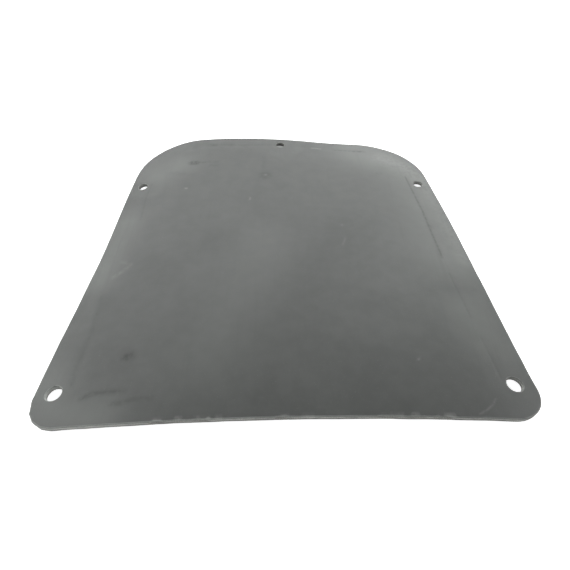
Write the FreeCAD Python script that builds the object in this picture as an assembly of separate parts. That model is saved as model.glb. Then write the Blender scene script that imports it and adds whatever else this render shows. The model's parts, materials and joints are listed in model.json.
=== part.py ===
import FreeCAD, Part
import math
import os

# A truck mud flap: one sheet of cloth-inserted rubber, cut to shape and punched with five bolt holes.
#
# The sheet is bonded from five layers: a rubber cover, a cloth ply, a rubber core, a second cloth ply
# and a second rubber cover. It has taken a permanent set, so it lies arched across its width, with
# the middle raised and both side edges down.
#
# Each layer is made as three solids that meet face to face:
#   upper  the band with the three small holes, held against the fender flange
#   bend   a narrow strip below it, where the flap flexes
#   lower  the hanging panel with the two larger corner holes
#
# Frame: +X across the flap, +Y towards its narrow top edge, +Z out of its front face.
# The origin is at the centre of the bounding box in X and Y, on the surface that the flap lies on.

# Outline, in millimetres. The side lines and the edges are measured before the corners are rounded.
BOTTOM_WIDTH = 300.0
TOP_WIDTH = 253.0
SIDE_HEIGHT = 290.5
TOP_CROWN = 5.5  # rise of the curved top edge above its two ends
BOTTOM_CORNER_RADIUS = 19.0
TOP_CORNER_RADIUS = 60.0

# Sheet make-up, from the back face to the front face.
COVER_THICKNESS = 0.9
PLY_THICKNESS = 0.35
CORE_THICKNESS = 0.7
LAYERS = [
    ("back_cover", COVER_THICKNESS),
    ("back_ply", PLY_THICKNESS),
    ("core", CORE_THICKNESS),
    ("front_ply", PLY_THICKNESS),
    ("front_cover", COVER_THICKNESS),
]

# The set in the rubber: height of the middle's back face above the side edges.
ARCH_RISE = 8.9

# Bolt holes, punched square to the sheet. Heights are from the bottom edge.
SMALL_HOLE_DIAMETER = 7.9
LARGE_HOLE_DIAMETER = 9.7
TOP_HOLE_EDGE_DISTANCE = 10.5
UPPER_HOLE_HEIGHT = 226.0
UPPER_HOLE_SPACING = 242.5
LOWER_HOLE_HEIGHT = 22.7
LOWER_HOLE_SPACING = 271.3

# The strip that flexes, as the height of its middle above the bottom edge and its length.
BEND_HEIGHT = 190.0
BEND_LENGTH = 20.0

LENGTH = SIDE_HEIGHT + TOP_CROWN
BOTTOM_Y = -LENGTH / 2
SHEET_THICKNESS = sum(thickness for _, thickness in LAYERS)
MARGIN = 10.0  # how far cutting tools run past the sheet
TOOL_HEIGHT = ARCH_RISE + SHEET_THICKNESS + 2 * MARGIN


def widest_half_width():
    """Half of the flap's real width, where the rounded bottom corners bulge furthest."""
    taper = math.atan((BOTTOM_WIDTH - TOP_WIDTH) / 2 / SIDE_HEIGHT)
    pulled_in = BOTTOM_CORNER_RADIUS * ((1 + math.sin(taper)) / math.cos(taper) - 1)
    return BOTTOM_WIDTH / 2 - pulled_in


def arch_radius():
    """Radius of the back face: a chord as wide as the flap has a rise of ARCH_RISE."""
    half = widest_half_width()
    return (half**2 + ARCH_RISE**2) / (2 * ARCH_RISE)


ARCH_RADIUS = arch_radius()
ARCH_AXIS_Z = ARCH_RISE - ARCH_RADIUS


def rounded(prism, corners, radius):
    """The prism with its upright edges at these (x, y) corners rounded."""
    edges = []
    for edge in prism.Edges:
        ends = [vertex.Point for vertex in edge.Vertexes]
        upright = abs(ends[0].z - ends[-1].z) > 1.0
        for x, y in corners:
            if upright and math.hypot(ends[0].x - x, ends[0].y - y) < 0.01:
                edges.append(edge)
    return prism.makeFillet(radius, edges)


def outline_prism():
    """The flap's outline, run straight up through the whole height of the arch."""
    low_right = (BOTTOM_WIDTH / 2, BOTTOM_Y)
    low_left = (-BOTTOM_WIDTH / 2, BOTTOM_Y)
    top_right = (TOP_WIDTH / 2, BOTTOM_Y + SIDE_HEIGHT)
    top_left = (-TOP_WIDTH / 2, BOTTOM_Y + SIDE_HEIGHT)
    crown = (0.0, BOTTOM_Y + LENGTH)

    def point(xy):
        return FreeCAD.Vector(xy[0], xy[1], -MARGIN)

    edges = [
        Part.LineSegment(point(low_left), point(low_right)).toShape(),
        Part.LineSegment(point(low_right), point(top_right)).toShape(),
        Part.Arc(point(top_right), point(crown), point(top_left)).toShape(),
        Part.LineSegment(point(top_left), point(low_left)).toShape(),
    ]
    prism = Part.Face(Part.Wire(edges)).extrude(FreeCAD.Vector(0, 0, TOOL_HEIGHT))
    prism = rounded(prism, [low_left, low_right], BOTTOM_CORNER_RADIUS)
    return rounded(prism, [top_left, top_right], TOP_CORNER_RADIUS)


def arched_layer(start, thickness):
    """A layer of the arch, as wide and long as the flap's box; start is its depth above the back face."""
    half_angle = math.degrees(math.asin((BOTTOM_WIDTH / 2 + MARGIN) / ARCH_RADIUS))

    def sector(radius):
        solid = Part.makeCylinder(
            radius,
            LENGTH + 2 * MARGIN,
            FreeCAD.Vector(0, BOTTOM_Y - MARGIN, ARCH_AXIS_Z),
            FreeCAD.Vector(0, 1, 0),
            2 * half_angle,
        )
        # The sector starts at the cylinder's own +X direction, so it is turned to sit astride +Z.
        middle = solid.CenterOfMass
        turn = math.degrees(math.atan2(middle.x, middle.z - ARCH_AXIS_Z))
        solid.rotate(FreeCAD.Vector(0, 0, ARCH_AXIS_Z), FreeCAD.Vector(0, 1, 0), -turn)
        return solid

    return sector(ARCH_RADIUS + start + thickness).cut(sector(ARCH_RADIUS + start))


def hole_places():
    """(x, height above the bottom edge, diameter) of each bolt hole."""
    places = [(0.0, LENGTH - TOP_HOLE_EDGE_DISTANCE, SMALL_HOLE_DIAMETER)]
    for side in (-1, 1):
        places.append((side * UPPER_HOLE_SPACING / 2, UPPER_HOLE_HEIGHT, SMALL_HOLE_DIAMETER))
        places.append((side * LOWER_HOLE_SPACING / 2, LOWER_HOLE_HEIGHT, LARGE_HOLE_DIAMETER))
    return places


def hole_punch(x, height, diameter):
    """A punch square to the arch, through the point at this x on the sheet's middle surface."""
    middle_radius = ARCH_RADIUS + SHEET_THICKNESS / 2
    lean = math.asin(x / middle_radius)
    direction = FreeCAD.Vector(math.sin(lean), 0, math.cos(lean))
    centre = FreeCAD.Vector(0, BOTTOM_Y + height, ARCH_AXIS_Z) + direction * middle_radius
    start = centre - direction * MARGIN
    return Part.makeCylinder(diameter / 2, 2 * MARGIN, start, direction)


def zone_box(low, high):
    """A box over the whole width, between two heights above the bottom edge."""
    width = BOTTOM_WIDTH + 2 * MARGIN
    corner = FreeCAD.Vector(-width / 2, BOTTOM_Y + low, -MARGIN)
    return Part.makeBox(width, high - low, TOOL_HEIGHT, corner)


def zones():
    """The three stretches of the flap, each with the box that cuts it out."""
    bend_low = BEND_HEIGHT - BEND_LENGTH / 2
    bend_high = BEND_HEIGHT + BEND_LENGTH / 2
    return {
        "lower": zone_box(-MARGIN, bend_low),
        "bend": zone_box(bend_low, bend_high),
        "upper": zone_box(bend_high, LENGTH + MARGIN),
    }


def export(name, shape):
    """Write one node, which has to be a single valid solid."""
    solid = shape.Solids[0]
    if len(shape.Solids) != 1 or not solid.isValid():
        raise ValueError(f"{name} is not one valid solid")
    solid.exportStep(os.path.join("parts", name + ".step"))
    print(f"{name}: {solid.Volume:.0f} cubic mm")


def main():
    os.makedirs("parts", exist_ok=True)
    blank = outline_prism()
    for place in hole_places():
        blank = blank.cut(hole_punch(*place))
    depth = 0.0
    for layer, thickness in LAYERS:
        sheet = arched_layer(depth, thickness).common(blank)
        for zone, box in zones().items():
            export(f"{layer}_{zone}", sheet.common(box))
        depth += thickness


main()
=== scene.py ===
import json
import math
from collections import namedtuple

import bpy
import numpy as np
from mathutils import Matrix, Vector
from mathutils.geometry import delaunay_2d_cdt
from mathutils.kdtree import KDTree


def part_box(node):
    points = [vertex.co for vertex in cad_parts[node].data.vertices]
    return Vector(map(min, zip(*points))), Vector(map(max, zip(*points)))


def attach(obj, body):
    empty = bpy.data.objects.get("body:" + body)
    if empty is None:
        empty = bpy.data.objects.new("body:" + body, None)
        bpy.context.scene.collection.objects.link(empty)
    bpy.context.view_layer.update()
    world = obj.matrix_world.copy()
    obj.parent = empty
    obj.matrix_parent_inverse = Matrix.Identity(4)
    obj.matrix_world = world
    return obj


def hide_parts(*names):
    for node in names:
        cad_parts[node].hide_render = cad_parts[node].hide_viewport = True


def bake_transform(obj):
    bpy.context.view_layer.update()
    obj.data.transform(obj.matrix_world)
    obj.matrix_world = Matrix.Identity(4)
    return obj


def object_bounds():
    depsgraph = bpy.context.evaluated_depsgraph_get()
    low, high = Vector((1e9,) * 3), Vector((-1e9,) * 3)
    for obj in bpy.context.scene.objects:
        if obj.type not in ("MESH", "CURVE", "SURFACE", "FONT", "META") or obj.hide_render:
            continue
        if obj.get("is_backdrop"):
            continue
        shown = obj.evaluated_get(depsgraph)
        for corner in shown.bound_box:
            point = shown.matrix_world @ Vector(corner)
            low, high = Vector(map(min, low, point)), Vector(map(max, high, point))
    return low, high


# A used truck mud flap: one sheet of cloth-inserted rubber, lying face up with a slight arch.
# Its five bonded layers are five closed meshes, each in one piece over the whole flap.
# +X runs across the flap, +Y towards its narrow top edge and +Z out of its front face.

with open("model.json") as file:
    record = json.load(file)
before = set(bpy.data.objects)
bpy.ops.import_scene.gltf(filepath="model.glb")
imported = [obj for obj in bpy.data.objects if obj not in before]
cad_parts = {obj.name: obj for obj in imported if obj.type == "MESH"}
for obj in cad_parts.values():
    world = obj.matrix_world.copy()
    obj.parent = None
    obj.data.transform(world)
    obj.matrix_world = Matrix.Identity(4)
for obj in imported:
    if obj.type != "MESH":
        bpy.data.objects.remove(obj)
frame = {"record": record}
cad_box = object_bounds()

MM = 0.001
random = np.random.default_rng(12)

# ---------------------------------------------------------------- sizes

# Read from the frame. Each bolt hole is as long as the sheet is thick.
LOW, HIGH = cad_box
MOUNTS = frame["record"]["mounts"]
THICKNESS = MOUNTS[0]["dims"]["length_mm"] * MM
LAYERS = ["front_cover", "front_ply", "core", "back_ply", "back_cover"]
ZONES = ["upper", "bend", "lower"]

# The outline before its corners are rounded, in metres.
BOTTOM_WIDTH = 0.300
TOP_WIDTH = 0.253
SIDE_HEIGHT = 0.2905
BOTTOM_CORNER_RADIUS = 0.019
TOP_CORNER_RADIUS = 0.060

# The arch, as two cylinders about one axis that runs along the flap.
ARCH_RISE = HIGH.z - THICKNESS
BACK_RADIUS = (HIGH.x**2 + ARCH_RISE**2) / (2 * ARCH_RISE)
FRONT_RADIUS = BACK_RADIUS + THICKNESS
ARCH_AXIS_Z = HIGH.z - FRONT_RADIUS

# The lower left corner was trimmed with straight knife cuts. They meet on a circle of this radius,
# in metres, at these angles, in degrees. The angles are given for the right side, and mirrored.
KNIFE_CUTS = [-88, -69, -47, -27, 0]
KNIFE_CUT_RADIUS = 0.0193

# Where the hand-cut edge strays from the outline, in mm: x, y, inset and reach.
# A negative inset bulges out.
STRAYS = [
    (-138.5, -6, 0.75, 33),
    (-148, -128, 0.5, 16),
    (-145, -85, -0.45, 15),
    (-132.5, 68, -0.6, 25),
    (-124, 116, -0.9, 18),
    (-92, 142, 0.2, 15),
    (-11, 148, -0.4, 20),
    (43, 147, 0.95, 22),
    (86, 144, -0.6, 15),
    (108, 130, -0.7, 14),
    (129, 99, 0.2, 12),
    (136.5, 19, -0.55, 35),
    (145, -84, 0.25, 20),
    (148, -136, -0.8, 11),
]

# The cut edge, in metres: how far in the flat face begins, the worn rim's radius, how much the
# knife wavered round the outline, and how rough it left the covers.
RIM = 0.0009
RIM_RADIUS = 0.00045
KNIFE_WAVER = 0.00006
ROUGH_CUT = 0.00003

# How far each inner layer's cut edge is set in at its two faces, and how rough it is, in metres.
INNER_EDGES = {
    "front_ply": (0.00002, 0.00005),
    "core": (0.00005, 0.00004),
    "back_ply": (0.00004, 0.00004),
}

# Mesh sizes, in metres: along the outline, round a hole, over the outer faces and over hidden ones.
EDGE_STEP = 0.0010
HOLE_STEP = 0.0006
FACE_STEP = 0.0020
HIDDEN_STEP = 0.0040

# ---------------------------------------------------------------- wear

# path and width in mm; tone is negative for a dark mark and positive for a light one; depth in mm.
Mark = namedtuple("Mark", "path width tone depth")

# Broken lines where a clamp strip lay round the flap.
WITNESS_LINES = [
    Mark([(112.5, 89), (116.7, 39), (119.1, -17)], 0.9, -0.33, 0.06),
    Mark([(119.9, -35), (123.9, -75)], 0.9, -0.15, 0.04),
    Mark([(125.6, -92), (128.2, -122)], 0.9, -0.12, 0.04),
    Mark([(-113.3, 80), (-115.6, 64), (-114.8, 32)], 1.0, -0.15, 0.04),
    Mark([(-127, -49), (-125.1, -82), (-127.3, -111), (-126.3, -121)], 1.7, -0.22, 0.04),
    Mark([(-65, 136.5), (-38, 134.6), (-6, 137)], 1.6, -0.2, 0.04),
    Mark([(52.5, 132.8), (81, 132)], 0.9, -0.25, 0.04),
    Mark([(71, 132.3), (81, 132)], 1.4, -0.35, 0.04),
]

SCRATCHES = [
    Mark([(31.5, 134.6), (38.5, 134)], 0.7, 0.25, 0.04),
    Mark([(-123, -31), (-116.6, -25.5), (-112, -19.5)], 1.5, 0.13, 0.02),
    Mark([(-120.1, -15.3), (-114.8, -18)], 1.5, 0.08, 0.02),
    Mark([(45.7, -6.2), (47.4, -2), (48.6, 2)], 0.9, 0.07, 0.02),
    Mark([(47.6, 17.6), (48.2, 17.8)], 0.8, 0.12, 0.02),
    Mark([(81, -110), (82, -109)], 0.8, 0.12, 0.02),
    Mark([(108.5, -145.2), (113.6, -142.5), (117.9, -139), (120.7, -135.4)], 0.6, 0.12, 0.04),
    Mark([(-82.1, 69), (-81.9, 69)], 0.7, 0.4, 0.03),
    Mark([(-26, 50.5), (-25.8, 52.5)], 0.8, 0.15, 0.02),
]

SMUDGES = [
    Mark([(-81, 107), (-76.5, 107)], 2.6, -0.8, 0),
    Mark([(-73, 107), (-58, 107.5)], 1.5, -0.25, 0),
    Mark([(-65.5, 135.5), (-61, 135.5)], 2.2, -0.4, 0),
    Mark([(-48.5, 135.3), (-44.5, 135.2)], 2.0, -0.35, 0),
    Mark([(-63, 101.8), (-58, 102)], 1.8, -0.22, 0),
    Mark([(-99.4, 93.5), (-77.5, 88)], 3.0, -0.12, 0),
    Mark([(104, 107), (107, 106)], 1.8, -0.2, 0),
    Mark([(88, 94), (91, 94)], 1.6, -0.15, 0),
    Mark([(118.2, 19), (118.8, 17)], 2.0, -0.25, 0),
    Mark([(-117.2, -130.6), (-112.1, -127.7), (-103.7, -127.2), (-93.7, -127.2)], 1.7, -0.4, 0),
    Mark([(-98.5, -135.4), (-91.9, -134.7), (-85.6, -133), (-75.7, -133.2)], 1.7, -0.35, 0),
    Mark([(-97, -103), (-94.5, -102)], 2.8, -0.6, 0),
    Mark([(-15.4, 115.5), (-15.1, 88)], 1.8, -0.15, 0),
    Mark([(-6.2, 78), (7.7, 47)], 4, -0.07, 0),
    Mark([(-42.4, 7.8), (-61.3, -9.8)], 8, -0.05, 0),
    Mark([(13, -74), (14, -74)], 9, -0.06, 0),
    Mark([(50.5, 17.4), (27.4, -28.6), (20, -62.6)], 22, -0.08, 0),
    Mark([(-20, -141), (20, -144)], 12, -0.12, 0),
]

# Pale places inside the upper right edge.
PALE_PLACES = [
    Mark([(97, 122), (118, 104), (127, 80)], 10, 0.15, 0),
    Mark([(127, 80), (131, 50), (135, 0), (136, -20)], 7, 0.10, 0),
]

# Light scuffs along the bottom rim.
SCUFFS = [
    Mark([(-71.9, -147.2), (-68.5, -147.2)], 0.9, 0.3, 0.03),
    Mark([(-59.5, -147.7), (-57.5, -147.7)], 0.9, 0.4, 0.03),
    Mark([(-48.3, -147.9), (-44.5, -147.9)], 0.8, 0.35, 0.03),
    Mark([(-42.4, -147.3), (-41.4, -147.3)], 0.9, 0.5, 0.03),
    Mark([(-37.5, -147.7), (-35.0, -147.8)], 0.8, 0.25, 0.03),
    Mark([(-2.4, -147.3), (1.2, -146.9)], 0.7, 0.25, 0.03),
    Mark([(9.8, -147.9), (15.2, -148.0)], 0.8, 0.25, 0.03),
    Mark([(52.0, -148.0), (55.4, -148.0)], 0.9, 0.25, 0.03),
    Mark([(58.5, -147.9), (64.2, -147.9)], 0.9, 0.3, 0.03),
    Mark([(70.0, -147.6), (73.0, -148.0)], 0.9, 0.35, 0.03),
    Mark([(83.7, -147.4), (84.2, -147.4)], 0.7, 0.3, 0.03),
    Mark([(88.7, -147.8), (93.2, -147.8)], 0.9, 0.45, 0.03),
]

# A vulcanising blister: a raised spot in a dark ring.
BLISTER = [
    Mark([(-13.6, 85.5), (-13.4, 85.5)], 5.0, -0.5, 0),
    Mark([(-13.6, 85.5), (-13.4, 85.5)], 1.6, 0.2, -0.25),
]

FRONT_MARKS = WITNESS_LINES + SCRATCHES + SMUDGES + PALE_PLACES + SCUFFS + BLISTER

# Broad patches of dust haze, on both faces.
HAZE = [
    Mark([(-15, -1), (-36, -70), (-45, -110)], 26, 0.3, 0),
    Mark([(80, 132), (108, 112), (122, 85), (130, 30), (131, -15)], 30, 1.0, 0),
    Mark([(125, -69), (131, -94)], 20, 0.6, 0),
    Mark([(-92, 105), (-108, 93)], 18, 0.7, 0),
    Mark([(-128, 30), (-134, -30)], 15, 1.0, 0),
    Mark([(-142, -118), (-132, -139), (-105, -145)], 16, 0.7, 0),
]

# Chips along the bottom edge of the front cover, which bare the cloth ply, in mm: x, half length
# and how far in.
CHIPS = [
    (-70, 3, 0.45),
    (-57.5, 3, 0.4),
    (-47, 3.5, 0.45),
    (-42.5, 1, 0.4),
    (-2, 4, 0.4),
    (53, 3, 0.45),
    (61, 5, 0.35),
    (72, 5, 0.45),
    (83, 1.2, 0.4),
    (89.5, 3, 0.5),
]

# The chips' lower edge, as a share of how far in they are at the face.
CHIP_TAPER = 0.8

# Broken thread ends at the chips, in metres where they are lengths.
THREADS_PER_CHIP = 4
THREAD_RADIUS = 0.00010
THREAD_LENGTH = 0.0016
THREAD_LENGTH_RANGE = (0.5, 1.1)  # as shares of THREAD_LENGTH
THREAD_ROOT = 0.0004  # how far in from the bottom edge a thread starts
THREAD_SPREAD = 0.9  # how far along the chip the threads start, as a share of its half length
THREAD_SPLAY = 1.4  # the greatest sideways run, for each step outwards
THREAD_LIFT = 0.8  # the greatest rise, for each step outwards
THREAD_DROOP = (0.1, 0.5)  # fall at the tip, as a share of the length
THREAD_TAPER = 0.6  # share of the radius that is lost by the tip
THREAD_SIDES = 6
THREAD_POINTS = 6

# ---------------------------------------------------------------- the cut edge


def on_circle(centre, radius, angles):
    x = centre[0] + radius * np.cos(angles)
    y = centre[1] + radius * np.sin(angles)
    return np.column_stack([x, y])


def line(start, end):
    """Points EDGE_STEP apart from start towards end, without end itself."""
    start, end = np.array(start), np.array(end)
    count = max(1, round(np.linalg.norm(end - start) / EDGE_STEP))
    share = np.arange(count)[:, None] / count
    return start + share * (end - start)


def arc(centre, radius, start, end):
    """Points EDGE_STEP apart from one angle of a circle towards another, without the last."""
    count = max(1, round(abs(end - start) * radius / EDGE_STEP))
    return on_circle(centre, radius, start + (end - start) * np.arange(count) / count)


def right_half(knife_cuts=()):
    """The outline from the middle of the bottom edge round to the middle of the top edge."""
    taper = math.atan((BOTTOM_WIDTH - TOP_WIDTH) / 2 / SIDE_HEIGHT)
    out = np.array([math.cos(taper), math.sin(taper)])
    up = np.array([-math.sin(taper), math.cos(taper)])
    corner = np.array([BOTTOM_WIDTH / 2, LOW.y])

    pull = BOTTOM_CORNER_RADIUS * (1 + math.sin(taper)) / math.cos(taper)
    bottom_centre = corner + np.array([-pull, BOTTOM_CORNER_RADIUS])

    crown = HIGH.y - (LOW.y + SIDE_HEIGHT)
    crown_radius = ((TOP_WIDTH / 2) ** 2 + crown**2) / (2 * crown)
    crown_centre = np.array([0, HIGH.y - crown_radius])

    # The top corner's circle touches the side line and, from inside, the crown's circle.
    foot = corner - TOP_CORNER_RADIUS * out - crown_centre
    reach = crown_radius - TOP_CORNER_RADIUS
    along = -foot @ up + math.sqrt((foot @ up) ** 2 - foot @ foot + reach**2)
    top_centre = crown_centre + foot + along * up
    run, rise = top_centre - crown_centre
    crown_start = math.atan2(rise, run)

    side_start = bottom_centre + BOTTOM_CORNER_RADIUS * out
    pieces = [arc(bottom_centre, BOTTOM_CORNER_RADIUS, -math.pi / 2, taper)]
    if knife_cuts:
        ends = on_circle(bottom_centre, KNIFE_CUT_RADIUS, np.radians(knife_cuts))
        pieces = [line(a, b) for a, b in zip(ends, ends[1:])]
        side_start = ends[-1]
    pieces.insert(0, line((0, LOW.y), pieces[0][0]))
    pieces.append(line(side_start, top_centre + TOP_CORNER_RADIUS * out))
    pieces.append(arc(top_centre, TOP_CORNER_RADIUS, taper, crown_start))
    pieces.append(arc(crown_centre, crown_radius, crown_start, math.pi / 2))
    return np.vstack(pieces)


def inward(loop):
    """Unit vectors to the left of a closed loop. The rubber is on the left of every loop here."""
    ahead = np.roll(loop, -1, axis=0) - np.roll(loop, 1, axis=0)
    left = np.column_stack([-ahead[:, 1], ahead[:, 0]])
    return left / np.linalg.norm(left, axis=1, keepdims=True)


def waver(count, reach):
    """Random values round a loop, smoothed over that many points, with a spread of 1."""
    offset = np.minimum(np.arange(count), count - np.arange(count))
    window = np.fft.rfft(np.exp(-((offset / reach) ** 2)))
    values = np.fft.irfft(np.fft.rfft(random.standard_normal(count)) * window, count)
    return (values - values.mean()) / values.std()


def outline():
    right = right_half()
    left = right_half(KNIFE_CUTS) * (-1, 1)
    loop = np.vstack([right, [(0, HIGH.y)], left[:0:-1]])
    inset = KNIFE_WAVER * waver(len(loop), reach=8)
    for x, y, depth, reach in STRAYS:
        distance = np.linalg.norm(loop - np.array([x, y]) * MM, axis=1)
        inset += depth * MM * np.exp(-((distance / (reach * MM)) ** 2))
    return loop + inset[:, None] * inward(loop)


def hole(mount):
    """A bolt hole on the front face, run clockwise so that the rubber is on its left."""
    radius = mount["dims"]["r_mm"] * MM
    centre = np.array(mount["pos_m"]) + np.array(mount["axis"]) * THICKNESS / 2
    count = round(2 * math.pi * radius / HOLE_STEP)
    return on_circle(centre, radius, -2 * math.pi * np.arange(count) / count)


loops = [outline()] + [hole(mount) for mount in MOUNTS]
EDGE = np.vstack(loops)
INWARD = np.vstack([inward(loop) for loop in loops])
COUNT = len(EDGE)

# The numbers of each loop's points in EDGE, and for each point the next one on its loop.
LOOP_NUMBERS = np.split(np.arange(COUNT), np.cumsum([len(loop) for loop in loops])[:-1])
NEXT = np.concatenate([np.roll(numbers, -1) for numbers in LOOP_NUMBERS])


def rough(amount, reach=3):
    """A small random inset at each point of the edge, loop by loop."""
    return amount * np.concatenate([waver(len(loop), reach) for loop in loops])


# ---------------------------------------------------------------- the sheet's form


HALF_SIZE = 0.15  # of the flap, in metres, so that u and v in the warp run from -1 to 1
RIPPLE_COUNT = 12


def warp(x, y):
    """How far the used sheet has moved out of its even arch."""
    u = x / HALF_SIZE
    v = y / HALF_SIZE
    # Each term is in mm.
    across = u * (4.8 * u**2 - 3.2)
    along = v * (-0.85 + 0.9 * v - 1.3 * v**2 + 1.25 * u**2)
    twist = u * v * (5.5 * u**2 - 5.6 - 3.0 * v)
    return MM * (across + along + twist)


def face_height(x, y):
    return ARCH_AXIS_Z + np.sqrt(FRONT_RADIUS**2 - x**2) + warp(x, y)


def sheet_points(plan, depth):
    """Points this deep into the sheet, square to it, from these places on the front face."""
    x, y = plan[:, 0], plan[:, 1]
    step = 0.001
    slope_x = (face_height(x + step, y) - face_height(x - step, y)) / (2 * step)
    slope_y = (face_height(x, y + step) - face_height(x, y - step)) / (2 * step)
    normal = np.column_stack([-slope_x, -slope_y, np.ones(len(x))])
    normal /= np.linalg.norm(normal, axis=1, keepdims=True)
    face = np.column_stack([x, y, face_height(x, y)])
    return face - normal * np.reshape(depth, (-1, 1))


def ripples(plan, size, height):
    """Soft random waves about that long and high."""
    total = np.zeros(len(plan))
    for _ in range(RIPPLE_COUNT):
        angle, phase = random.uniform(0, 2 * math.pi, 2)
        number = 2 * math.pi / (size * random.uniform(0.7, 1.6))
        total += np.sin(number * (plan @ [math.cos(angle), math.sin(angle)]) + phase)
    return height * total / math.sqrt(RIPPLE_COUNT)


def distance_to(plan, path):
    """Distance from each place to a path of straight runs."""
    nearest = np.full(len(plan), np.inf)
    for start, end in zip(path, path[1:]):
        run = end - start
        share = np.clip((plan - start) @ run / (run @ run), 0, 1)
        nearest = np.minimum(nearest, np.linalg.norm(plan - start - share[:, None] * run, axis=1))
    return nearest


def marked(plan, marks):
    """What the marks do at each place: how dark it is, how light it is, and how far it sinks."""
    dark, light, sunk = np.zeros((3, len(plan)))
    for mark in marks:
        path = np.array(mark.path) * MM
        amount = np.exp(-((distance_to(plan, path) / (mark.width * MM)) ** 2))
        if mark.tone < 0:
            dark = np.maximum(dark, -mark.tone * amount)
        else:
            light = np.maximum(light, mark.tone * amount)
        sunk += mark.depth * MM * amount
    return dark, light, sunk


# ---------------------------------------------------------------- meshes

# A layer's plan: its points, the triangles between them, and how far in from the edge each is.
Pattern = namedtuple("Pattern", "plan triangles from_edge")

# What delaunay_2d_cdt returns, and how close two points are when it takes them as one, in metres.
INSIDE_WITHOUT_HOLES = 2
SAME_POINT = 1e-7

# Rows of extra points run beside the marks that are no wider than this, all in mm.
NARROW_MARK = 1.0
MARK_STEP = 0.8
MARK_ROWS = (-1.2, -0.6, 0, 0.6, 1.2)

# The least room round a face's points, as shares of its step: to the rim, and to the extra rows.
RIM_ROOM = 0.4
ROW_ROOM = 0.6

# Edges between faces that meet at more than this angle look sharp, in degrees.
SHARP_ANGLE = 50

# Down a cut edge: angles round the worn rim, in degrees, then heights as shares of a layer's
# thickness, for a cover below its rim and for an inner layer.
RIM_ANGLES = [0, 25, 50, 72, 90]
COVER_SHARES = (0.75, 0.98)
INNER_SHARES = (0.02, 0.5, 0.98)
INNER_REACH = 1.5  # points over which an inner layer's roughness is smoothed

BOTTOM_STRIP = 0.002  # the bottom edge is within this of the lowest point, in metres


def along_marks(marks):
    """Rows of points beside each narrow mark, so that the mesh can follow it."""
    places = []
    for mark in marks:
        if mark.width > NARROW_MARK:
            continue
        path = np.array(mark.path) * MM
        for start, end in zip(path, path[1:]):
            length = np.linalg.norm(end - start)
            ahead = (end - start) / length
            aside = np.array([-ahead[1], ahead[0]])
            for distance in np.arange(0, length, MARK_STEP * MM):
                for offset in MARK_ROWS:
                    places.append(start + distance * ahead + offset * MM * aside)
    return places


def staggered_grid(step):
    places = []
    for number, y in enumerate(np.arange(LOW.y, HIGH.y, step * math.sqrt(3) / 2)):
        shift = step / 2 * (number % 2)
        places += [(x + shift, y) for x in np.arange(LOW.x, HIGH.x, step)]
    return places


def tree_of(places):
    tree = KDTree(len(places))
    for number, place in enumerate(places):
        tree.insert((*place, 0), number)
    tree.balance()
    return tree


def make_pattern(step, marks=()):
    """The sheet's plan as triangles. Its points start with the rim, a little in from the edge."""
    rim = EDGE + RIM * INWARD
    rim_tree = tree_of(rim)
    fine = along_marks(marks)
    fine_tree = tree_of(fine) if fine else None
    inner = []
    depths = []
    for number, place in enumerate(fine + staggered_grid(step)):
        _, nearest, _ = rim_tree.find((*place, 0))
        depth = (np.array(place) - rim[nearest]) @ INWARD[nearest]
        from_grid = number >= len(fine)
        crowded = fine_tree and from_grid and fine_tree.find((*place, 0))[2] < ROW_ROOM * step
        if depth > RIM_ROOM * step and not crowded:
            inner.append(place)
            depths.append(depth + RIM)
    plan = np.vstack([rim, inner])
    bounds = [numbers.tolist() for numbers in LOOP_NUMBERS]
    places = [Vector(place) for place in plan]
    found = delaunay_2d_cdt(places, [], bounds, INSIDE_WITHOUT_HOLES, SAME_POINT)
    _, _, faces, origins, _, _ = found
    number_of = [sources[0] for sources in origins]
    triangles = np.array([[number_of[corner] for corner in face] for face in faces])
    return Pattern(plan, triangles, np.concatenate([np.full(COUNT, RIM), depths]))


def mesh_object(name, points, faces):
    mesh = bpy.data.meshes.new(name)
    mesh.from_pydata(points, [], faces)
    mesh.shade_smooth()
    mesh.set_sharp_from_angle(angle=math.radians(SHARP_ANGLE))
    piece = bpy.data.objects.new(name, mesh)
    bpy.context.scene.collection.objects.link(piece)
    store(piece, "rest", "FLOAT_VECTOR", "vector", points)
    return piece


def store(piece, name, kind, field, values):
    attribute = piece.data.attributes.new(name, kind, "POINT")
    attribute.data.foreach_set(field, np.asarray(values, np.float32).ravel())


def layer_depths(layer):
    """Depths of a layer's upper and lower faces below the front face."""
    tops = [HIGH.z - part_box(f"{name}_lower")[1].z for name in LAYERS] + [THICKNESS]
    number = LAYERS.index(layer)
    return tops[number], tops[number + 1]


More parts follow.
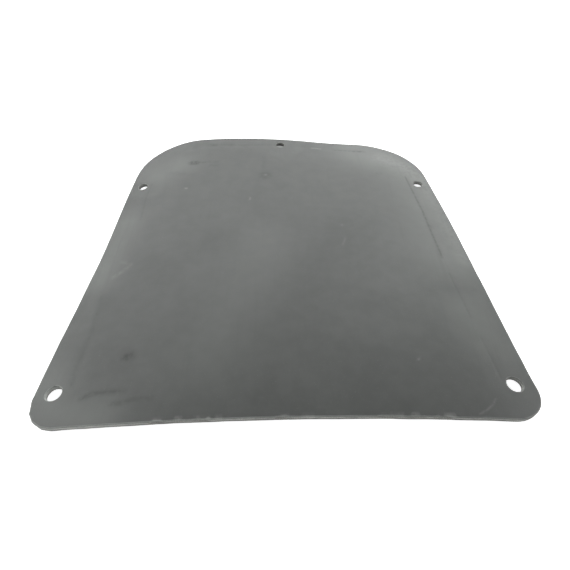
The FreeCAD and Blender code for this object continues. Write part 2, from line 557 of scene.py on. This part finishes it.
def layer_piece(name, layer, pattern, rows, outer=None, relief=None, marks=()):
    """A layer of the sheet as one closed mesh.

    rows are (inset, share) pairs down the cut edge, from the upper face to the lower one; share is
    0 at the upper face and 1 at the lower. The relief and the marks shape the outer face: 0 is the
    upper face and 1 the lower.
    """
    upper, lower = layer_depths(layer)
    flat = len(pattern.plan)
    plans = [pattern.plan, pattern.plan]
    shares = [np.zeros(flat), np.ones(flat)]
    from_edge = [pattern.from_edge, pattern.from_edge]
    cut = [np.zeros(2 * flat)]
    for inset, share in rows:
        plans.append(EDGE + np.reshape(inset, (-1, 1)) * INWARD)
        shares.append(np.full(COUNT, share))
        from_edge.append(np.zeros(COUNT) + inset)
        cut.append(np.full(COUNT, 1.0))
    plan = np.vstack(plans)
    share = np.concatenate(shares)

    dark, light, sunk = marked(plan, marks)
    _, hazy, _ = marked(plan, HAZE)
    depth = upper + (lower - upper) * share
    if outer is not None:
        nearness = 1 - abs(share - outer)
        inwards = 1 if outer == 0 else -1
        depth += inwards * nearness * (sunk + relief(plan))
    points = sheet_points(plan, depth)

    faces = [tuple(face) for face in pattern.triangles]
    faces += [tuple(face[::-1] + flat) for face in pattern.triangles]
    starts = [0] + [2 * flat + COUNT * number for number in range(len(rows))] + [flat]
    for above, below in zip(starts, starts[1:]):
        for number in range(COUNT):
            following = int(NEXT[number])
            faces.append((above + number, below + number, below + following, above + following))

    piece = mesh_object(name, points, faces)
    # What the materials read at each point; cut is 1 on the cut edge and 0 on the faces.
    store(piece, "dark", "FLOAT", "value", dark)
    store(piece, "light", "FLOAT", "value", light)
    store(piece, "haze", "FLOAT", "value", hazy)
    store(piece, "cut", "FLOAT", "value", np.concatenate(cut))
    store(piece, "from_edge", "FLOAT", "value", np.concatenate(from_edge))
    return piece


def chips():
    """How far the front cover is chipped back, at each point of the edge."""
    inset = np.zeros(COUNT)
    at_bottom = EDGE[:, 1] < LOW.y + BOTTOM_STRIP
    for x, half_length, depth in CHIPS:
        distance = abs(EDGE[:, 0] - x * MM) / (half_length * MM)
        inset += at_bottom * depth * MM * np.exp(-(distance**4))
    return inset


def rounded_rim(inset):
    """Rows round a worn rim, from the face to the cut edge, as (inset, depth into the layer)."""
    rows = []
    for angle in np.radians(RIM_ANGLES):
        inwards = RIM_RADIUS * (1 - math.sin(angle))
        rows.append((inset + inwards, RIM_RADIUS * (1 - math.cos(angle))))
    return rows


def cover_rows(layer, inset):
    """A cover's rows, listed from its worn rim on the outer face to its inner face."""
    upper, lower = layer_depths(layer)
    rows = []
    for place, depth in rounded_rim(inset):
        rows.append((place + rough(ROUGH_CUT), depth / (lower - upper)))
    for share in COVER_SHARES:
        rows.append((inset * CHIP_TAPER + rough(ROUGH_CUT), share))
    return rows


def front_cover(pattern):
    rows = cover_rows("front_cover", chips())
    return layer_piece(
        "front_rubber_cover",
        "front_cover",
        pattern,
        rows,
        outer=0,
        relief=front_relief,
        marks=FRONT_MARKS,
    )


def back_cover(pattern):
    rows = [(inset, 1 - share) for inset, share in reversed(cover_rows("back_cover", 0.0))]
    return layer_piece(
        "back_rubber_cover",
        "back_cover",
        pattern,
        rows,
        outer=1,
        relief=back_relief,
    )


def front_relief(plan):
    long_waves = ripples(plan, size=0.045, height=0.00003)
    return long_waves + ripples(plan, size=0.009, height=0.000004)


def back_relief(plan):
    return ripples(plan, size=0.03, height=0.00003)


def inner_layer(name, layer, pattern):
    """The core or a cloth ply, whose cut edge is a little rough and slightly bowed."""
    inset, amount = INNER_EDGES[layer]
    rows = []
    for place, share in zip((inset, 0.0, inset), INNER_SHARES):
        rows.append((place + rough(amount, INNER_REACH), share))
    return layer_piece(name, layer, pattern, rows)


def tapered_thread(path):
    """Points and faces of a thin closed tube that tapers to its end."""
    sides = THREAD_SIDES
    points = []
    faces = []
    for number, place in enumerate(path):
        ahead = path[min(number + 1, len(path) - 1)] - path[max(number - 1, 0)]
        across = ahead.cross(Vector((0, 0, 1))).normalized()
        over = across.cross(ahead).normalized()
        size = THREAD_RADIUS * (1 - THREAD_TAPER * number / (len(path) - 1))
        for side in range(sides):
            angle = 2 * math.pi * side / sides
            points.append(place + size * (math.cos(angle) * across + math.sin(angle) * over))
    for ring in range(len(path) - 1):
        for side in range(sides):
            following = (side + 1) % sides
            a, b = ring * sides + side, ring * sides + following
            faces.append((a, b, b + sides, a + sides))
    faces.append(tuple(range(sides))[::-1])
    faces.append(tuple(range((len(path) - 1) * sides, len(path) * sides)))
    return points, faces


def frayed_threads():
    """Broken thread ends that stand out of the front ply where the cover is chipped."""
    upper, lower = layer_depths("front_ply")
    points, faces = [], []
    for x, half_length, _ in CHIPS:
        for _ in range(THREADS_PER_CHIP):
            place = x * MM + half_length * MM * random.uniform(-THREAD_SPREAD, THREAD_SPREAD)
            root = np.array([[place, LOW.y + THREAD_ROOT]])
            start = Vector(sheet_points(root, [(upper + lower) / 2])[0])
            aside = random.uniform(-THREAD_SPLAY, THREAD_SPLAY)
            ahead = Vector((aside, -1, random.uniform(0, THREAD_LIFT))).normalized()
            length = THREAD_LENGTH * random.uniform(*THREAD_LENGTH_RANGE)
            droop = Vector((0, 0, -random.uniform(*THREAD_DROOP) * length))
            shares = np.linspace(0, 1, THREAD_POINTS)
            path = [start + ahead * length * t + droop * t * t for t in shares]
            new_points, new_faces = tapered_thread(path)
            faces += [tuple(corner + len(points) for corner in face) for face in new_faces]
            points += new_points
    return mesh_object("frayed_threads", [tuple(point) for point in points], faces)


# ---------------------------------------------------------------- materials

# Dust and painted fill light on the lower cut edges share this pale colour.
DUST_AND_FILL_LIGHT_COLOUR = (0.45, 0.46, 0.44)
LIGHT_MARK_COLOUR = (0.40, 0.41, 0.39)
CORE_COLOURS = ((0.13, 0.133, 0.127), (0.19, 0.194, 0.186))  # its darkest and its lightest

# Sizes of the patterns in the materials, in metres.
CLOUD_SIZE = 0.07
DUST_PATCH_SIZE = 0.02
SHINE_PATCH_SIZE = 0.02
BORDER_PATCH_SIZE = 0.012
MOTTLE_SIZE = 0.009
SOAKED_PATCH_SIZE = 0.006
MILL_STREAK_SIZE = 0.004
CORE_PATCH_SIZE = 0.004
MARK_BREAK_SIZE = 0.003
SCRATCH_SIZE = 0.0012
SPECKLE_SIZE = 0.0009
GRAIN_SIZE = 0.0007
SCORE_SIZE = 0.0006
TEAR_SIZE = 0.0005
FUZZ_SIZE = 0.0003
CLOTH_THREAD_PITCH = 0.0009

# Depths of the relief in the materials, in metres.
GRAIN_DEPTH = 0.00003
SCRATCH_DEPTH = 0.000015
TEAR_DEPTH = 0.00006
WEAVE_DEPTH = 0.00015
FUZZ_DEPTH = 0.00005

# The paler border inside the cut edge: where it starts to fade and where it is gone, in metres from
# the edge, and how pale it is.
BORDER_FADE = (0.014, 0.021)
BORDER_AMOUNT = 0.3


def node(tree, kind, inputs=None, **settings):
    """A shader node. Each input is a value, or the output of another node."""
    made = tree.nodes.new(kind)
    for key, value in settings.items():
        setattr(made, key, value)
    for key, value in (inputs or {}).items():
        if isinstance(value, bpy.types.NodeSocket):
            tree.links.new(value, made.inputs[key])
        else:
            made.inputs[key].default_value = value
    return made


def stored(tree, name):
    output = "Vector" if name == "rest" else "Fac"
    return node(tree, "ShaderNodeAttribute", attribute_name=name).outputs[output]


def rest_along(tree, axis):
    """X, Y or Z of a point of the sheet at rest, in metres."""
    return node(tree, "ShaderNodeSeparateXYZ", {0: stored(tree, "rest")}).outputs[axis]


def noise(tree, size, detail=3.0, density=(1, 1, 1)):
    """Noise from 0 to 1 with features about that size, in metres, in the sheet at rest.

    density is how closely they are packed along X, Y and Z: less than 1 draws them into streaks.
    """
    scale = [amount / size for amount in density]
    inputs = {0: stored(tree, "rest"), 1: scale}
    scaled = node(tree, "ShaderNodeVectorMath", inputs, operation="MULTIPLY")
    inputs = {"Vector": scaled.outputs[0], "Scale": 1.0, "Detail": detail}
    return node(tree, "ShaderNodeTexNoise", inputs).outputs["Fac"]


def ramp(tree, value, low, high, start=0.0, end=1.0):
    """value eased from start, at low, to end, at high."""
    inputs = {"Value": value, "From Min": low, "From Max": high, "To Min": start, "To Max": end}
    made = node(tree, "ShaderNodeMapRange", inputs, interpolation_type="SMOOTHSTEP")
    return made.outputs["Result"]


def calculated(tree, operation, *values):
    return node(tree, "ShaderNodeMath", dict(enumerate(values)), operation=operation).outputs[0]


def times(tree, a, b):
    return calculated(tree, "MULTIPLY", a, b)


def added(tree, a, b):
    return calculated(tree, "ADD", a, b)


def brightened(colour, factor):
    return [factor * part for part in colour]


def mixed(tree, amount, first, second):
    """The first colour, with this amount of the second."""
    made = node(tree, "ShaderNodeMix", data_type="RGBA")
    colours = [socket for socket in made.inputs if socket.type == "RGBA"]
    tree.links.new(amount, made.inputs[0])
    for socket, colour in zip(colours, (first, second)):
        if isinstance(colour, bpy.types.NodeSocket):
            tree.links.new(colour, socket)
        else:
            socket.default_value = (*colour, 1)
    return [socket for socket in made.outputs if socket.type == "RGBA"][0]


def bumped(tree, height, depth, under=None):
    inputs = {"Height": height, "Distance": depth, "Strength": 1.0}
    if under is not None:
        inputs["Normal"] = under
    return node(tree, "ShaderNodeBump", inputs).outputs["Normal"]


def finish_material(tree, colour, roughness, normal, specular):
    inputs = {
        "Base Color": colour,
        "Roughness": roughness,
        "Normal": normal,
        "Specular IOR Level": specular,
    }
    shader = node(tree, "ShaderNodeBsdfPrincipled", inputs)
    node(tree, "ShaderNodeOutputMaterial", {"Surface": shader.outputs[0]})


def new_material(name):
    made = bpy.data.materials.new(name)
    made.use_nodes = True
    made.node_tree.nodes.clear()
    return made, made.node_tree


def dust(tree):
    """How much dust lies there: the broad haze, broken up a little."""
    broken = ramp(tree, noise(tree, DUST_PATCH_SIZE, 5.0), 0.25, 0.7, 0.75, 1.0)
    return times(tree, stored(tree, "haze"), broken)


def edge_dust_and_fill_light(tree):
    """Dust on a cut edge, and painted fill light on it: only on the lower part of the flap."""
    return times(tree, dust(tree), ramp(tree, rest_along(tree, "Y"), -0.08, -0.02, 0.7, 0.0))


def face_colour(tree, clean, hazy):
    """A worn face: mottled haze, dust, a paler border except at the bottom, streaks and speckle."""
    cloudy = ramp(tree, noise(tree, CLOUD_SIZE, 4.0), 0.3, 0.7, 0.05, 0.35)
    mottled = ramp(tree, noise(tree, MOTTLE_SIZE, 5.0), 0.3, 0.7, 0.05, 0.35)
    colour = mixed(tree, added(tree, cloudy, mottled), clean, hazy)
    colour = mixed(tree, dust(tree), colour, brightened(hazy, 2.0))

    border = ramp(tree, stored(tree, "from_edge"), *BORDER_FADE, BORDER_AMOUNT, 0.0)
    border = times(tree, border, ramp(tree, rest_along(tree, "Y"), -0.12, -0.06))
    patchy = times(tree, border, ramp(tree, noise(tree, BORDER_PATCH_SIZE, 4.0), 0.3, 0.65))
    colour = mixed(tree, patchy, colour, brightened(hazy, 1.5))

    streaks = noise(tree, MILL_STREAK_SIZE, 2.0, (1, 0.06, 1))
    colour = mixed(tree, ramp(tree, streaks, 0.5, 0.9, 0.0, 0.25), colour, clean)
    speckle = ramp(tree, noise(tree, SPECKLE_SIZE, 2.0), 0.62, 0.8, 0.0, 0.35)
    return mixed(tree, speckle, colour, brightened(hazy, 1.8))


def cut_rubber_colour(tree, colour, darker_colour):
    """A cover's cut edge: scored from face to face, and darker towards the right."""
    scoring = ramp(tree, noise(tree, SCORE_SIZE, 3.0, (1, 1, 0.15)), 0.3, 0.7)
    scored = mixed(tree, scoring, brightened(colour, 0.75), colour)
    # The cut edge turns darker towards the right.
    towards_right = ramp(tree, rest_along(tree, "X"), -0.10, 0.12, 0.0, 0.4)
    scored = mixed(tree, towards_right, scored, darker_colour)
    # Dust and painted fill light make the lower cut edge paler.
    return mixed(tree, times(tree, edge_dust_and_fill_light(tree), 0.25), scored, DUST_AND_FILL_LIGHT_COLOUR)


def rubber_material(name, clean, hazy, cut_colour_and_fill_light):
    """Worn rubber: the face with its marks, and the cut edge, whose pale colour is partly painted
    fill light.
    """
    made, tree = new_material(name)
    broken = ramp(tree, noise(tree, MARK_BREAK_SIZE, 3.0), 0.3, 0.6, 0.35, 1.0)
    dark = times(tree, stored(tree, "dark"), broken)
    light = times(tree, stored(tree, "light"), broken)
    cut = stored(tree, "cut")
    colour = mixed(tree, dark, face_colour(tree, clean, hazy), brightened(clean, 0.3))
    colour = mixed(tree, cut, colour, cut_rubber_colour(tree, cut_colour_and_fill_light, hazy))
    colour = mixed(tree, light, colour, LIGHT_MARK_COLOUR)

    roughness = ramp(tree, noise(tree, SHINE_PATCH_SIZE, 4.0), 0.25, 0.75, 0.385, 0.435)
    roughness = added(tree, roughness, times(tree, dark, 0.4))
    roughness = added(tree, roughness, times(tree, cut, 0.3))
    grain = bumped(tree, noise(tree, GRAIN_SIZE, 3.0), GRAIN_DEPTH)
    scratches = noise(tree, SCRATCH_SIZE, 2.0, (1, 0.05, 1))
    finish_material(tree, colour, roughness, bumped(tree, scratches, SCRATCH_DEPTH, grain), 0.5)
    return made


def core_material():
    """The core's cut edge: plain dark rubber, torn a little by the knife."""
    made, tree = new_material("core_rubber")
    torn = noise(tree, TEAR_SIZE, 4.0, (1, 1, 0.3))
    colour = mixed(tree, ramp(tree, torn, 0.3, 0.7), *CORE_COLOURS)
    # Dust and painted fill light make the lower cut edge paler.
    colour = mixed(tree, edge_dust_and_fill_light(tree), colour, DUST_AND_FILL_LIGHT_COLOUR)
    roughness = ramp(tree, noise(tree, CORE_PATCH_SIZE), 0.3, 0.7, 0.65, 0.8)
    finish_material(tree, colour, roughness, bumped(tree, torn, TEAR_DEPTH), 0.4)
    return made


def weave(tree):
    """Height of a plain weave, from 0 to 1: highest where two threads cross."""
    ridges = []
    for axis in ("X", "Y"):
        turn = times(tree, rest_along(tree, axis), math.pi / CLOTH_THREAD_PITCH)
        ridges.append(calculated(tree, "ABSOLUTE", calculated(tree, "SINE", turn)))
    return times(tree, *ridges)


def cloth_material(name, soaked, dry, soaking):
    """A cloth ply: pale threads, with rubber forced into the weave.

    soaking is how much rubber there is in the cleanest places, from 0 to 1.
    """
    made, tree = new_material(name)
    threads = weave(tree)
    fuzz = noise(tree, FUZZ_SIZE, 3.0)
    dirty = ramp(tree, noise(tree, SOAKED_PATCH_SIZE, 4.0), 0.3, 0.7, soaking, soaking + 0.3)
    colour = mixed(tree, ramp(tree, fuzz, 0.3, 0.7), brightened(dry, 0.8), dry)
    colour = mixed(tree, ramp(tree, threads, 0.1, 0.5, 1.0, 0.0), colour, soaked)
    colour = mixed(tree, dirty, colour, soaked)
    # Dust and painted fill light make the lower cut edge paler.
    colour = mixed(tree, edge_dust_and_fill_light(tree), colour, DUST_AND_FILL_LIGHT_COLOUR)
    under = bumped(tree, threads, WEAVE_DEPTH)
    finish_material(tree, colour, 0.85, bumped(tree, fuzz, FUZZ_DEPTH, under), 0.2)
    return made


# ---------------------------------------------------------------- studio

FLOOR_HALF_SIZE = 6.0
FLOOR_GLOW = 1.0
FLOOR_COLOUR = (0.9, 0.9, 0.9)

# The shade under the top band: an ellipse on the floor, with half its width and length in metres.
# It fades out between these shares of its reach.
SHADE_CENTRE = (0, 0.098, 0)
SHADE_SIZE = (0.080, 0.066, 1)
SHADE_FADE = (0.86, 1.08)
SHADE_COLOUR = (0.14, 0.14, 0.14)

# Brightness of the tent's walls and roof, and where one fades into the other, as the sine of the
# elevation.
WALL_LIGHT = 1.0
ROOF_LIGHT = 0.1
WALL_TOP = 0.26
ROOF_START = 0.6

# Soft lights facing the flap: name, compass angle from behind its top edge, elevation, width,
# height and brightness. The angles are in degrees and the sizes in metres.
SOFT_LIGHTS = [
    ("back_low", 0, 12, 2.6, 0.5, 3.8),
    ("back_high", 0, 43, 2.6, 0.5, 5.8),
    ("left_low", -65, 20, 1.4, 0.8, 3.4),
    ("left_high", -65, 45, 1.4, 0.8, 1.9),
    ("right_low", 65, 20, 1.4, 0.8, 6.0),
]
LIGHT_DISTANCE = 2.0
LIGHT_TINT = (0.98, 1.0, 0.99)

# The camera, in metres, degrees and millimetres.
CAMERA_PLACE = (0.0008, -0.2671, 0.2484)
CAMERA_DOWN = 47.13
CAMERA_YAW = 0.20
CAMERA_ROLL = 1.07
CAMERA_LENS = 29.44
CAMERA_SENSOR = 36.0
CAMERA_CLIP_START = 0.01  # in metres


def make_camera():
    data = bpy.data.cameras.new("camera")
    data.lens = CAMERA_LENS
    data.sensor_width = CAMERA_SENSOR
    data.clip_start = CAMERA_CLIP_START
    camera = bpy.data.objects.new("camera", data)
    bpy.context.scene.collection.objects.link(camera)
    turn = Matrix.Rotation(math.radians(-CAMERA_YAW), 4, "Z")
    tip = Matrix.Rotation(math.radians(90 - CAMERA_DOWN), 4, "X")
    roll = Matrix.Rotation(math.radians(-CAMERA_ROLL), 4, "Z")
    camera.matrix_world = Matrix.Translation(CAMERA_PLACE) @ turn @ tip @ roll
    bpy.context.scene.camera = camera


def make_light(name, compass, elevation, width, height, brightness):
    compass, elevation = math.radians(compass), math.radians(elevation)
    level = math.cos(elevation)
    direction = Vector((math.sin(compass) * level, math.cos(compass) * level, math.sin(elevation)))
    data = bpy.data.lights.new(name, "AREA")
    data.shape = "RECTANGLE"
    data.size = width
    data.size_y = height
    data.energy = brightness * math.pi * width * height
    data.color = LIGHT_TINT
    light = bpy.data.objects.new(name, data)
    bpy.context.scene.collection.objects.link(light)
    light.location = LIGHT_DISTANCE * direction
    light.rotation_mode = "QUATERNION"
    light.rotation_quaternion = (-direction).to_track_quat("-Z", "Y")


def floor_material():
    """A pale glowing floor, dimmer in the shade under the flap's top band."""
    made, tree = new_material("pale_floor")
    place = node(tree, "ShaderNodeTexCoord").outputs["Object"]
    offset = node(tree, "ShaderNodeVectorMath", {0: place, 1: SHADE_CENTRE}, operation="SUBTRACT")
    inputs = {0: offset.outputs[0], 1: SHADE_SIZE}
    share = node(tree, "ShaderNodeVectorMath", inputs, operation="DIVIDE")
    reach = node(tree, "ShaderNodeVectorMath", {0: share.outputs[0]}, operation="LENGTH")
    shade = ramp(tree, reach.outputs["Value"], *SHADE_FADE, 1.0, 0.0)
    colour = mixed(tree, shade, FLOOR_COLOUR, SHADE_COLOUR)
    inputs = {
        "Base Color": colour,
        "Roughness": 0.8,
        "Specular IOR Level": 0.0,
        "Emission Color": colour,
        "Emission Strength": FLOOR_GLOW,
    }
    shader = node(tree, "ShaderNodeBsdfPrincipled", inputs)
    node(tree, "ShaderNodeOutputMaterial", {"Surface": shader.outputs[0]})
    return made


def make_floor(height):
    half = FLOOR_HALF_SIZE
    corners = [(-half, -half), (half, -half), (half, half), (-half, half)]
    mesh = bpy.data.meshes.new("floor")
    mesh.from_pydata([(*corner, height) for corner in corners], [], [(0, 1, 2, 3)])
    mesh.materials.append(floor_material())
    floor = bpy.data.objects.new("floor", mesh)
    bpy.context.scene.collection.objects.link(floor)
    floor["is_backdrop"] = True


def make_world():
    """A plain tent: bright walls all round, and a dimmer roof."""
    world = bpy.data.worlds.new("tent")
    world.use_nodes = True
    tree = world.node_tree
    direction = node(tree, "ShaderNodeTexCoord").outputs["Generated"]
    height = node(tree, "ShaderNodeSeparateXYZ", {0: direction}).outputs["Z"]
    glow = ramp(tree, height, WALL_TOP, ROOF_START, WALL_LIGHT, ROOF_LIGHT)
    tree.links.new(glow, tree.nodes["Background"].inputs["Strength"])
    tree.nodes["Background"].inputs["Color"].default_value = (*LIGHT_TINT, 1)
    bpy.context.scene.world = world


def make_studio():
    make_world()
    for light in SOFT_LIGHTS:
        make_light(*light)
    bpy.context.scene.view_settings.view_transform = "Standard"


# ---------------------------------------------------------------- build

marked_pattern = make_pattern(FACE_STEP, FRONT_MARKS)
plain_pattern = make_pattern(FACE_STEP)
hidden_pattern = make_pattern(HIDDEN_STEP)

front_rubber = rubber_material(
    "front_rubber",
    clean=(0.036, 0.0375, 0.0355),
    hazy=(0.058, 0.0605, 0.0570),
    # The cut edge's pale grey is partly its own worn colour and partly painted fill light.
    cut_colour_and_fill_light=(0.25, 0.256, 0.245),
)
back_rubber = rubber_material(
    "back_rubber",
    clean=(0.030, 0.031, 0.0295),
    hazy=(0.055, 0.057, 0.054),
    # The cut edge's pale grey is partly its own worn colour and partly painted fill light.
    cut_colour_and_fill_light=(0.20, 0.205, 0.196),
)
core_rubber = core_material()
front_cloth = cloth_material(
    "front_cloth",
    soaked=(0.20, 0.20, 0.19),
    dry=(0.62, 0.61, 0.56),
    soaking=0.15,
)
back_cloth = cloth_material(
    "back_cloth",
    soaked=(0.13, 0.13, 0.125),
    dry=(0.38, 0.37, 0.33),
    soaking=0.6,
)
thread_cloth = cloth_material(
    "thread_cloth",
    soaked=(0.12, 0.12, 0.11),
    dry=(0.62, 0.59, 0.50),
    soaking=0.0,
)

# Each piece draws random numbers as it is made, so the pieces are always made in this order.
front_cover_piece = front_cover(marked_pattern)
front_ply_piece = inner_layer("front_cloth_ply", "front_ply", hidden_pattern)
core_piece = inner_layer("rubber_core", "core", hidden_pattern)
back_ply_piece = inner_layer("back_cloth_ply", "back_ply", hidden_pattern)
back_cover_piece = back_cover(plain_pattern)

# Each piece with the CAD layer that it replaces, its material and its slot in the record.
PIECES = [
    (front_cover_piece, "front_cover", front_rubber, "front_rubber"),
    (front_ply_piece, "front_ply", front_cloth, "ply_cloth"),
    (core_piece, "core", core_rubber, "core_rubber"),
    (back_ply_piece, "back_ply", back_cloth, "ply_cloth"),
    (back_cover_piece, "back_cover", back_rubber, "back_rubber"),
]

for piece, layer, finish, slot in PIECES:
    piece.data.materials.append(finish)
    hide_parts(*[f"{layer}_{zone}" for zone in ZONES])
    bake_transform(piece)

thread_ends = frayed_threads()
thread_ends.data.materials.append(thread_cloth)
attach(thread_ends, "lower_panel")

make_floor(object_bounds()[0].z)
make_studio()
make_camera()
